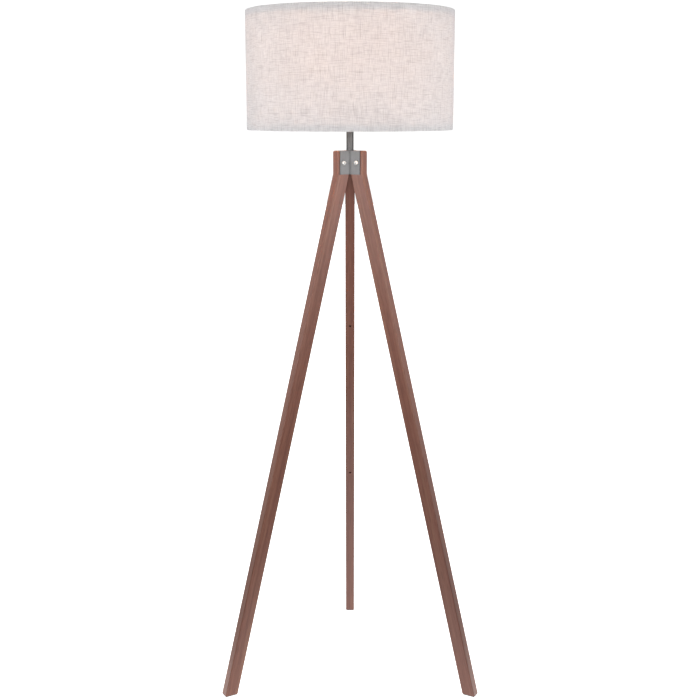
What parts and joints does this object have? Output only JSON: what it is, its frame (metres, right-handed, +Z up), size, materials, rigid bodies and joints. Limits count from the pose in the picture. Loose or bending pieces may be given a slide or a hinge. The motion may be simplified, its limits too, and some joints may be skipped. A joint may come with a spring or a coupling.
{
  "type": "tripod floor lamp",
  "caption": "Free-standing lamp: splayed wood tripod legs bolted to a bent-plate steel hub, a short pole, a turn-switch lampholder with a bulb, and a linen drum shade.",
  "frame": {"origin": "on the floor, on the axis of the pole, in the plane of the three foot pads", "axes": "+Z up along the pole, +Y towards the rear leg, +X to the right of the lamp seen from its front"},
  "size_m": [0.5824, 0.555, 1.51],
  "materials": {
    "stained_wood": "satin stain",
    "pad_rubber": "matt",
    "hub_metal": "brushed",
    "nickel": "bright nickel plate",
    "zinc_steel": "zinc plate",
    "brass": "bright",
    "black_plastic": "moulded, fine texture",
    "porcelain": "glazed",
    "white_plastic": "moulded",
    "black_glass": "glassy",
    "aluminium": "bare sheet",
    "opal": "opal, lit",
    "white_wire": "white powder coat",
    "liner_sheet": "matt white sheet",
    "linen": "slubby plain weave"
  },
  "bodies": {
    "stand": {"leg_left": "stained_wood", "leg_right": "stained_wood", "leg_rear": "stained_wood", "foot_pad_left": "pad_rubber", "foot_pad_right": "pad_rubber", "foot_pad_rear": "pad_rubber", "bracket_front": "hub_metal", "bracket_left": "hub_metal", "bracket_right": "hub_metal", "hub_bolts": "nickel", "sleeve_nuts": "nickel", "hub_core": "zinc_steel", "hub_nipple": "zinc_steel", "hub_nut": "zinc_steel", "cable_bush": "black_plastic", "pole": "hub_metal", "pole_insert_bottom": "zinc_steel", "pole_insert_top": "zinc_steel", "holder_nipple": "zinc_steel", "holder_washer": "zinc_steel", "holder_cap": "black_plastic", "holder_body": "black_plastic", "holder_core": "porcelain", "screw_shell": "brass", "centre_contact": "brass", "terminal_screws": "brass", "shade_ring_nut": "black_plastic", "switch_bush": "nickel", "bulb_contact": "nickel", "bulb_insulator": "black_glass", "bulb_cap": "nickel", "bulb_body": "white_plastic", "bulb_board": "aluminium", "bulb_dome": "opal"},
    "shade": {"fitter_ring": "white_wire", "spider_arms": "white_wire", "wire_bottom": "white_wire", "wire_top": "white_wire", "shade_liner": "liner_sheet", "shade_linen": "linen"},
    "switch": {"switch_spindle": "nickel", "switch_knob": "black_plastic"}
  },
  "joints": [
    {"name": "shade_turn", "type": "hinge", "parent": "stand", "child": "shade", "pos_m": [0, 0, 1.3208], "axis": [0, 0, 1], "continuous": true},
    {"name": "switch_turn", "type": "hinge", "parent": "stand", "child": "switch", "pos_m": [0.0243, 0, 1.3085], "axis": [1, 0, 0], "continuous": true}
  ]
}
